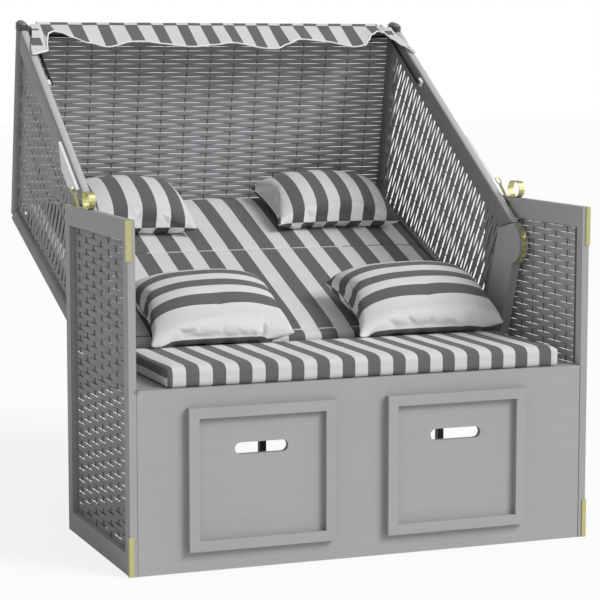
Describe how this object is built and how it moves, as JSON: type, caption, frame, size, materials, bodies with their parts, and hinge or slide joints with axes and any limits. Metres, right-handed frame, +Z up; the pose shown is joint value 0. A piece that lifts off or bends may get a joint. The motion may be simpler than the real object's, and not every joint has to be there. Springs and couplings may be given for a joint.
{
  "type": "hooded beach chair",
  "caption": "Hooded wicker beach chair for two with a reclining hood, pull-out footrests, striped cushions and a striped sunshade.",
  "frame": {"origin": "on the floor, at the middle of the base's width and depth", "axes": "+X to the right as seen from the front, +Y to the back, +Z up"},
  "size_m": [1.1846, 1.2563, 1.2903],
  "materials": {
    "painted_wood": "satin grey paint",
    "rattan": "grey woven strand",
    "brass_fittings": "pale yellow plated",
    "striped_fabric": "white cloth with dark grey stripes",
    "white_plastic": "matte white",
    "black_steel": "satin black"
  },
  "bodies": {
    "base": {"left_side_frame": "painted_wood", "right_side_frame": "painted_wood", "front_panel": "painted_wood", "seat_board": "painted_wood", "seat_rear_rail": "painted_wood", "base_rear_rail": "painted_wood", "left_runner": "painted_wood", "centre_runner": "painted_wood", "right_runner": "painted_wood", "left_side_weave": "rattan", "right_side_weave": "rattan", "left_top_front_guard": "brass_fittings", "left_bottom_front_guard": "brass_fittings", "left_top_rear_guard": "brass_fittings", "left_loop_bracket": "brass_fittings", "left_hinge_strap": "brass_fittings", "right_top_front_guard": "brass_fittings", "right_bottom_front_guard": "brass_fittings", "right_top_rear_guard": "brass_fittings", "right_loop_bracket": "brass_fittings", "right_hinge_strap": "brass_fittings", "seat_cushion": "striped_fabric", "left_throw_pillow": "striped_fabric", "right_throw_pillow": "striped_fabric"},
    "hood": {"hood_left_front_rail": "painted_wood", "hood_left_foot_rail": "painted_wood", "hood_right_front_rail": "painted_wood", "hood_right_foot_rail": "painted_wood", "hood_left_back_rail": "rattan", "hood_left_roof_rail": "rattan", "hood_left_weave": "rattan", "hood_right_back_rail": "rattan", "hood_right_roof_rail": "rattan", "hood_right_weave": "rattan", "hood_foot_crossrail": "rattan", "hood_shoulder_crossrail": "rattan", "hood_top_crossrail": "rattan", "hood_back_weave": "rattan", "hood_roof_weave": "rattan", "hood_left_knob_band": "brass_fittings", "hood_right_knob_band": "brass_fittings", "hood_left_handle_board": "white_plastic", "hood_right_handle_board": "white_plastic", "back_cushion": "striped_fabric", "left_head_pillow": "striped_fabric", "right_head_pillow": "striped_fabric", "left_shade_clip": "white_plastic", "right_shade_clip": "white_plastic", "shade_sheet": "striped_fabric"},
    "left_footrest": {"left_footrest_front": "painted_wood", "left_footrest_top": "painted_wood", "left_footrest_frame": "painted_wood"},
    "right_footrest": {"right_footrest_front": "painted_wood", "right_footrest_top": "painted_wood", "right_footrest_frame": "painted_wood"},
    "left_lock": {"left_lock_pin": "brass_fittings"},
    "right_lock": {"right_lock_pin": "brass_fittings"},
    "shade": {"shade_bar": "black_steel"}
  },
  "joints": [
    {"name": "hood_recline", "type": "hinge", "parent": "base", "child": "hood", "pos_m": [0, 0.138, 0.648], "axis": [1, 0, 0], "range_deg": [0, 55]},
    {"name": "left_footrest_slide", "type": "slide", "parent": "base", "child": "left_footrest", "axis": [0, -1, 0], "range_m": [0, 0.35]},
    {"name": "right_footrest_slide", "type": "slide", "parent": "base", "child": "right_footrest", "axis": [0, -1, 0], "range_m": [0, 0.35]},
    {"name": "shade_swing", "type": "hinge", "parent": "hood", "child": "shade", "pos_m": [0, 0.62462, 1.11783], "axis": [1, 0, 0], "range_deg": [0, 85], "deforming": ["shade_sheet"]},
    {"name": "left_lock_slide", "type": "slide", "parent": "base", "child": "left_lock", "axis": [0, 0.766, 0.6428], "range_m": [0, 0.02]},
    {"name": "right_lock_slide", "type": "slide", "parent": "base", "child": "right_lock", "axis": [0, 0.766, 0.6428], "range_m": [0, 0.02]}
  ]
}
